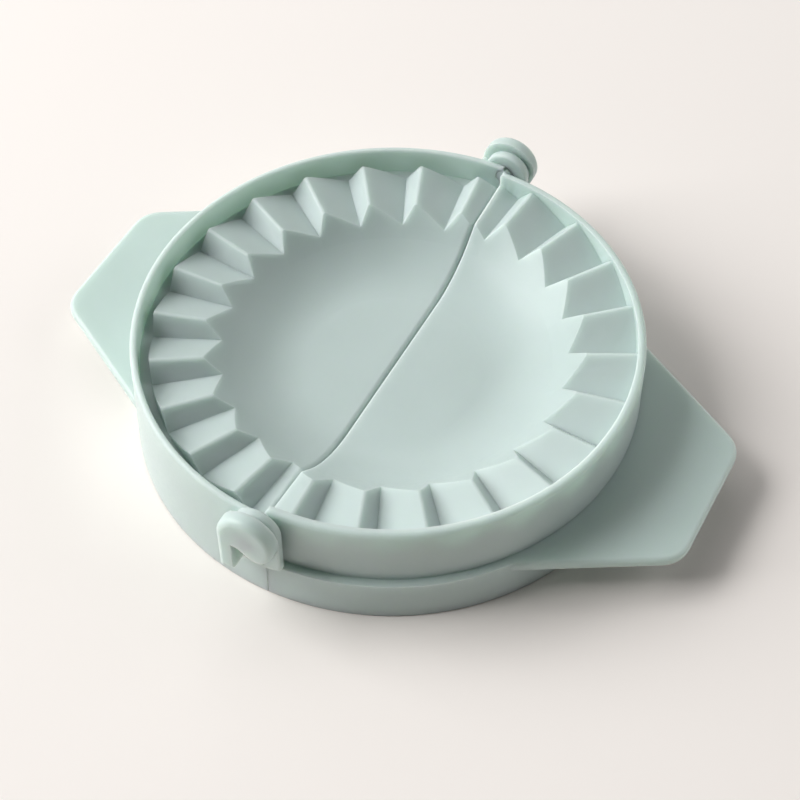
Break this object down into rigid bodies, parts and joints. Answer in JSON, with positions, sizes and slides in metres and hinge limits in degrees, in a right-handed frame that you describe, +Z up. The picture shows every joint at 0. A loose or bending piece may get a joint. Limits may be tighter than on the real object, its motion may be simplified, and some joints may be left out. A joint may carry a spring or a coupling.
{
  "type": "empanada press",
  "caption": "Round folding empanada press: two half-dishes with meshing crimp teeth, hinged along the diameter, each with a finger tab.",
  "frame": {"origin": "on the surface it stands on, at the middle of the open press, under the hinge axis", "axes": "+Z up out of the hollows, Y along the hinge axis, -X towards the outer half's tab and +X towards the inner half's"},
  "size_m": [0.138, 0.113, 0.0264],
  "materials": {
    "outer_half": "satin",
    "inner_half": "satin"
  },
  "bodies": {
    "outer_half": {"outer_half": "outer_half"},
    "inner_half": {"inner_half": "inner_half"}
  },
  "joints": [
    {"name": "fold", "type": "hinge", "parent": "outer_half", "child": "inner_half", "pos_m": [0, 0, 0.0205], "axis": [0, -1, 0], "range_deg": [0, 180]}
  ]
}
